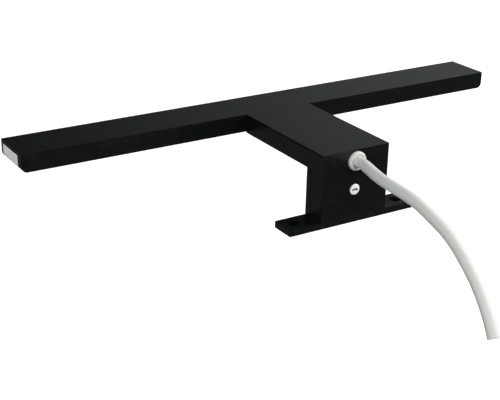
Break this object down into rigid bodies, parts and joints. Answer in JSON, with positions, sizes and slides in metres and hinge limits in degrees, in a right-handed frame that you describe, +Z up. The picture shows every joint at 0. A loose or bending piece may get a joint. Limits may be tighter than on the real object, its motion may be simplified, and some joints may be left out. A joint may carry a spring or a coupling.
{
  "type": "picture light",
  "caption": "Slim LED bar on a T-shaped arm with a hollow leg, clamped by a rear screw to a two-hole foot bracket, with a short mains cable from a round bush.",
  "frame": {"origin": "centre of the foot's underside, midway between its two screw holes", "axes": "+X along the light bar, +Y towards the cable at the back, +Z up from the foot to the bar"},
  "size_m": [0.3, 0.218, 0.051],
  "materials": {
    "black_plastic": "satin, very fine moulded texture",
    "bracket_black": "satin, very fine moulded texture",
    "opal_plastic": "frosted opal",
    "heat_tape": "soft matt",
    "led_board_white": "white solder mask on aluminium",
    "led_phosphor": "silicone over phosphor",
    "circuit_board": "green solder mask",
    "capacitor_sleeve": "shrunk sleeve",
    "film_box": "moulded box",
    "choke_winding": "enamelled copper",
    "chip_black": "moulded epoxy",
    "fuse_metal": "glass body with nickel caps",
    "varistor_blue": "dipped epoxy",
    "terminal_green": "moulded",
    "connector_white": "moulded nylon",
    "insulation_film": "polyester film",
    "wire_brown": "extruded",
    "wire_blue": "extruded",
    "wire_red": "extruded",
    "wire_black": "extruded",
    "zinc_steel": "zinc plated",
    "black_screw": "black oxide",
    "white_nylon": "moulded nylon",
    "brass": "turned",
    "white_bush": "moulded PVC",
    "white_cable": "extruded PVC"
  },
  "bodies": {
    "bracket": {"mounting_bracket": "bracket_black", "threaded_insert": "brass"},
    "lamp_head": {"top_housing": "black_plastic", "arm_housing": "black_plastic", "diffuser": "opal_plastic", "led_tape": "heat_tape", "led_board": "led_board_white", "leds": "led_phosphor", "driver_board": "circuit_board", "bulk_capacitor": "capacitor_sleeve", "film_capacitor": "film_box", "inductor": "choke_winding", "bridge_rectifier": "chip_black", "fuse": "fuse_metal", "varistor": "varistor_blue", "driver_chip": "chip_black", "chip_resistors": "chip_black", "input_terminal": "terminal_green", "output_connector": "connector_white", "insulation_sheet": "insulation_film", "board_screws": "zinc_steel", "live_wire": "wire_brown", "neutral_wire": "wire_blue", "led_wire_positive": "wire_red", "led_wire_negative": "wire_black", "cord_clamp": "zinc_steel", "cord_clamp_screws": "zinc_steel", "cable_bush": "white_bush", "cable_tail": "white_cable", "power_cable": "white_cable", "housing_screws": "black_screw"},
    "clamp_screw": {"clamp_screw": "white_nylon", "screw_retainer": "zinc_steel"}
  },
  "joints": [
    {"name": "head_slide", "type": "slide", "parent": "bracket", "child": "lamp_head", "axis": [0, 1, 0], "range_m": [0, 0.0021]},
    {"name": "clamp_screw_turn", "type": "hinge", "parent": "lamp_head", "child": "clamp_screw", "pos_m": [0, 0.007, 0.0182], "axis": [0, 1, 0], "range_deg": [0, 1080]}
  ],
  "couplings": [
    {"joint": "clamp_screw_turn", "follows": "head_slide", "rad_per_m": 8975.9}
  ]
}
